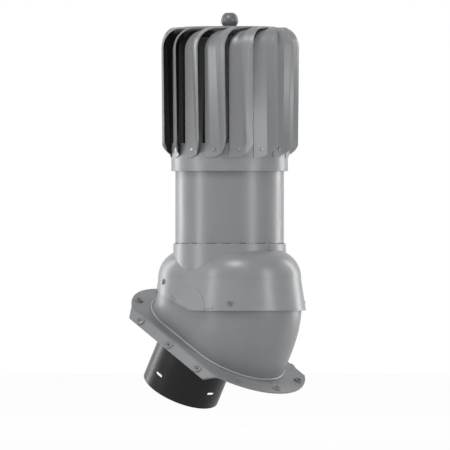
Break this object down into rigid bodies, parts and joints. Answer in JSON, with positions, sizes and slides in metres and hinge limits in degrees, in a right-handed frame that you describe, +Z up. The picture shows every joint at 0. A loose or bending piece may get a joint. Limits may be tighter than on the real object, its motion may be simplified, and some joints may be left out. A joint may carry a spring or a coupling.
{
  "type": "rotating chimney cowl",
  "caption": "Wind-driven rotating cowl on an insulated upright pipe, with a hood and tilted base flange for a pitched roof and a duct spigot below.",
  "frame": {"origin": "where the upright pipe's axis crosses the roof surface, the underside of the base's seal", "axes": "+Z up along the pipe and rotor axis, +X down the fall of the roof, +Y across the roof"},
  "size_m": [0.3548, 0.27, 0.7486],
  "materials": {
    "shell_grey": "satin",
    "pipe_grey": "satin",
    "vane_grey": "satin",
    "duct_black": "matt",
    "seal": "matt",
    "insulation": "matt foam",
    "zinc": "satin",
    "cast": "satin",
    "bright": "polished"
  },
  "bodies": {
    "stand": {"base_shell": "shell_grey", "flange_seal": "seal", "hood": "shell_grey", "hood_screws": "zinc", "outer_pipe": "pipe_grey", "pipe_insulation": "insulation", "cap_ring": "pipe_grey", "inner_duct": "duct_black", "duct_elbow": "duct_black", "spigot": "duct_black", "bearing_spider": "cast", "housing_clips": "zinc", "arm_screws": "zinc", "outer_races": "bright"},
    "rotor": {"inner_races": "bright", "spindle": "zinc", "spindle_nuts": "zinc", "spacers": "zinc", "disc_washer": "zinc", "rotor_brace": "zinc", "rotor_collar": "vane_grey", "collar_rivets": "cast", "disc_rivets": "cast", "top_disc": "vane_grey", "ball_finial": "vane_grey", "vane_01": "vane_grey", "vane_02": "vane_grey", "vane_03": "vane_grey", "vane_04": "vane_grey", "vane_05": "vane_grey", "vane_06": "vane_grey", "vane_07": "vane_grey", "vane_08": "vane_grey", "vane_09": "vane_grey", "vane_10": "vane_grey", "vane_11": "vane_grey", "vane_12": "vane_grey", "vane_13": "vane_grey", "vane_14": "vane_grey", "vane_15": "vane_grey"},
    "cages": {"ball_cages": "bright"}
  },
  "joints": [
    {"name": "rotor_spin", "type": "hinge", "parent": "stand", "child": "rotor", "pos_m": [0, 0, 0.4], "axis": [0, 0, 1], "continuous": true},
    {"name": "cage_spin", "type": "hinge", "parent": "stand", "child": "cages", "pos_m": [0, 0, 0.3255], "axis": [0, 0, 1], "continuous": true}
  ],
  "couplings": [
    {"joint": "cage_spin", "follows": "rotor_spin", "ratio": 0.3678}
  ]
}
